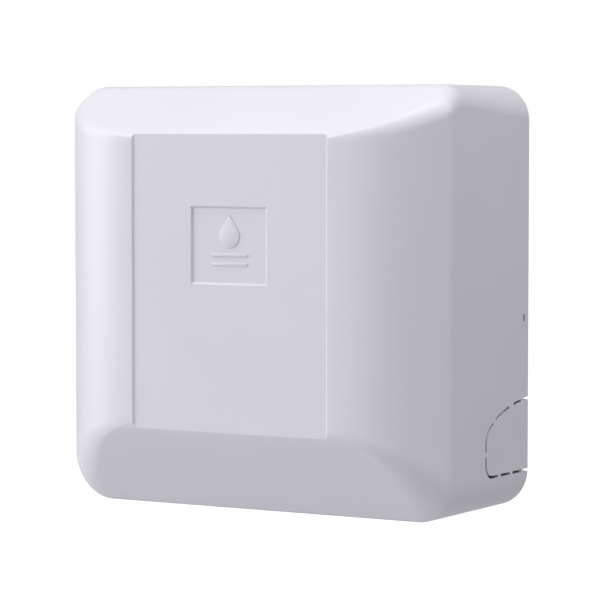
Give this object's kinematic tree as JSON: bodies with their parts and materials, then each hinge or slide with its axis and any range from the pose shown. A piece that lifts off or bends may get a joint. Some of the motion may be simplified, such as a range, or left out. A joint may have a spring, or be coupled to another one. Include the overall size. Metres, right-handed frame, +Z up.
{
  "type": "air conditioner drain pump",
  "caption": "Wall-mounted drain pump for an air conditioner: a shallow box with a bevelled cover over a condensate tank, centrifugal pump, float switches and control box.",
  "frame": {"origin": "middle of the face that meets the wall", "axes": "+X to the right as seen from the room, +Y into the wall, +Z up"},
  "size_m": [0.19, 0.097, 0.185],
  "materials": {
    "cover_plastic": "moulded ABS, fine satin",
    "base_plastic": "moulded ABS, satin",
    "tank_plastic": "natural polypropylene, translucent",
    "deck_plastic": "moulded polypropylene, dark grey",
    "casing_plastic": "moulded acetal, white",
    "valve_plastic": "moulded, smoke clear",
    "impeller_plastic": "glass-filled nylon, black",
    "motor_paint": "zinc-plated steel",
    "steel": "bright steel",
    "lamination": "silicon steel sheets, dull",
    "copper": "enamelled copper wire",
    "bearing_bronze": "sintered bronze",
    "rubber": "moulded rubber, black",
    "hose_vinyl": "soft vinyl, pale green",
    "plug_plastic": "moulded polypropylene, grey",
    "level_foam": "closed-cell foam, orange",
    "alarm_foam": "closed-cell foam, red",
    "box_plastic": "moulded ABS, ivory",
    "board": "epoxy board with solder mask",
    "part_black": "moulded, black",
    "relay_blue": "moulded, blue",
    "nylon_white": "moulded nylon, white",
    "led_green": "clear green lens",
    "button_red": "moulded, red",
    "lead_sheath": "vinyl sheath, grey"
  },
  "bodies": {
    "housing": {"wall_base": "base_plastic", "tank": "tank_plastic", "tank_screws": "steel", "drain_plug": "plug_plastic", "drain_plug_seal": "rubber", "pump_deck": "deck_plastic", "deck_screws": "steel", "pump_casing": "casing_plastic", "casing_cover": "deck_plastic", "stator_core": "lamination", "stator_coils": "copper", "motor_can": "motor_paint", "motor_end_cap": "motor_paint", "lower_bearing": "bearing_bronze", "upper_bearing": "bearing_bronze", "motor_bracket": "steel", "motor_mounts": "rubber", "motor_screws": "steel", "check_valve_body": "valve_plastic", "check_valve_seal": "rubber", "check_valve_elbow": "casing_plastic", "discharge_hose": "hose_vinyl", "hose_clips": "steel", "outlet_joint": "casing_plastic", "outlet_bracket": "casing_plastic", "fitting_screws": "steel", "inlet_joint": "casing_plastic", "inlet_gasket": "rubber", "inlet_nut": "casing_plastic", "level_switch_stem": "casing_plastic", "level_float_clip": "steel", "alarm_switch_stem": "casing_plastic", "alarm_float_clip": "steel", "control_box": "box_plastic", "box_screws": "steel", "control_box_lid": "box_plastic", "lid_screws": "steel", "circuit_board": "board", "board_screws": "steel", "transformer": "part_black", "relay": "relay_blue", "board_parts": "part_black", "board_connectors": "nylon_white", "status_led": "led_green", "terminal_block": "nylon_white", "terminal_screws": "steel", "box_grommets": "rubber", "motor_lead": "lead_sheath", "float_leads": "lead_sheath", "cable_clamp": "casing_plastic"},
    "cover": {"front_cover": "cover_plastic"},
    "rotor": {"impeller": "impeller_plastic", "motor_shaft": "steel", "rotor_core": "lamination", "cooling_fan": "impeller_plastic", "water_slinger": "rubber"},
    "level_float_body": {"level_float": "level_foam"},
    "alarm_float_body": {"alarm_float": "alarm_foam"},
    "valve_ball": {"check_valve_ball": "rubber"},
    "button": {"test_button": "button_red"}
  },
  "joints": [
    {"name": "cover_pull", "type": "slide", "parent": "housing", "child": "cover", "axis": [0, -1, 0], "range_m": [0, 0.11]},
    {"name": "rotor_spin", "type": "hinge", "parent": "housing", "child": "rotor", "pos_m": [-0.0425, -0.0385, 0], "axis": [0, 0, 1], "continuous": true},
    {"name": "level_float_rise", "type": "slide", "parent": "housing", "child": "level_float_body", "axis": [0, 0, 1], "range_m": [0, 0.012]},
    {"name": "alarm_float_rise", "type": "slide", "parent": "housing", "child": "alarm_float_body", "axis": [0, 0, 1], "range_m": [0, 0.008]},
    {"name": "valve_ball_lift", "type": "slide", "parent": "housing", "child": "valve_ball", "axis": [0, 0, 1], "range_m": [0, 0.0036]},
    {"name": "test_button_press", "type": "slide", "parent": "housing", "child": "button", "axis": [0, 1, 0], "range_m": [0, 0.0008], "stiffness_N_per_m": 500}
  ]
}
